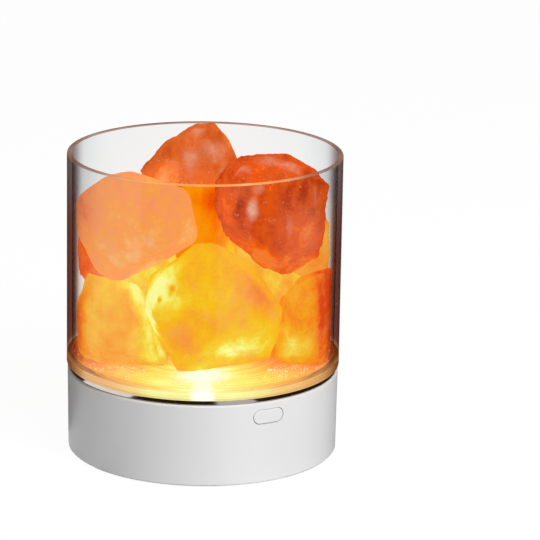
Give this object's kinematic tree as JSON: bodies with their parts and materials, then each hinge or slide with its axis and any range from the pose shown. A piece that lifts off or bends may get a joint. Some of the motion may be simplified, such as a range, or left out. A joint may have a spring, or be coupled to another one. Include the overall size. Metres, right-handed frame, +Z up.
{
  "type": "salt crystal lamp",
  "caption": "Small table lamp: lumps of rock salt in a clear round cup glow from the lit round white base, which has a push button and a charging socket.",
  "frame": {"origin": "on the table under the middle of the base, level with the bottoms of the rubber feet", "axes": "+Z up along the lamp's axis; -Y towards the push button; +Y towards the charging socket"},
  "size_m": [0.094, 0.094, 0.1094],
  "materials": {
    "white_plastic": "white moulded ABS, satin",
    "chrome_trim": "bright plated ring",
    "clear_cup": "clear moulded acrylic, polished",
    "frosted_window": "frosted diffuser, lit from below",
    "salt_amber": "lit rock salt, amber",
    "salt_orange": "lit rock salt, orange",
    "salt_peach": "lit rock salt, peach",
    "salt_red": "rock salt, deep orange red, glossy breaks",
    "salt_brick": "rock salt, dusty brick orange",
    "board_white": "white solder mask",
    "led_body": "LED package with warm phosphor",
    "plated_steel": "zinc plated",
    "black_plastic": "moulded black nylon",
    "chip_black": "moulded epoxy",
    "ceramic_tan": "ceramic chip part",
    "coil_grey": "ferrite",
    "cell_foil": "laminated foil pouch",
    "foam_tape": "double-sided foam tape",
    "connector_ivory": "moulded nylon",
    "lead_red": "soft insulation",
    "lead_black": "soft insulation",
    "foot_rubber": "soft rubber"
  },
  "bodies": {
    "root": {"base_housing": "white_plastic", "trim_ring": "chrome_trim", "cup": "clear_cup", "cup_screws": "plated_steel", "light_window": "frosted_window", "led_board": "board_white", "leds": "led_body", "board_screws": "plated_steel", "switch_body": "black_plastic", "switch_frame": "plated_steel", "usb_shell": "plated_steel", "usb_tongue": "black_plastic", "control_chip": "chip_black", "charge_chip": "chip_black", "chip_capacitors": "ceramic_tan", "chip_resistors": "chip_black", "coil": "coil_grey", "battery_pouch": "cell_foil", "battery_tape": "foam_tape", "battery_connector": "connector_ivory", "lead_red": "lead_red", "lead_black": "lead_black", "base_cover": "white_plastic", "cover_screws": "plated_steel", "rubber_feet": "foot_rubber", "crystal_front": "salt_amber", "crystal_left": "salt_orange", "crystal_right": "salt_orange", "crystal_back_left": "salt_orange", "crystal_back_right": "salt_orange", "crystal_middle": "salt_amber", "crystal_rear_left": "salt_orange", "crystal_rear_right": "salt_amber"},
    "button": {"power_button": "white_plastic", "switch_plunger": "black_plastic"},
    "crystal_top_left_body": {"crystal_top_left": "salt_peach"},
    "crystal_top_right_body": {"crystal_top_right": "salt_red"},
    "crystal_top_back_body": {"crystal_top_back": "salt_brick"}
  },
  "joints": [
    {"name": "button_press", "type": "slide", "parent": "root", "child": "button", "axis": [0, 1, 0], "range_m": [0, 0.0005], "stiffness_N_per_m": 1500},
    {"name": "top_left_lift", "type": "slide", "parent": "root", "child": "crystal_top_left_body", "axis": [0, 0, 1], "range_m": [0, 0.06]},
    {"name": "top_right_lift", "type": "slide", "parent": "root", "child": "crystal_top_right_body", "axis": [0, 0, 1], "range_m": [0, 0.06]},
    {"name": "top_back_lift", "type": "slide", "parent": "root", "child": "crystal_top_back_body", "axis": [0, 0, 1], "range_m": [0, 0.06]}
  ]
}
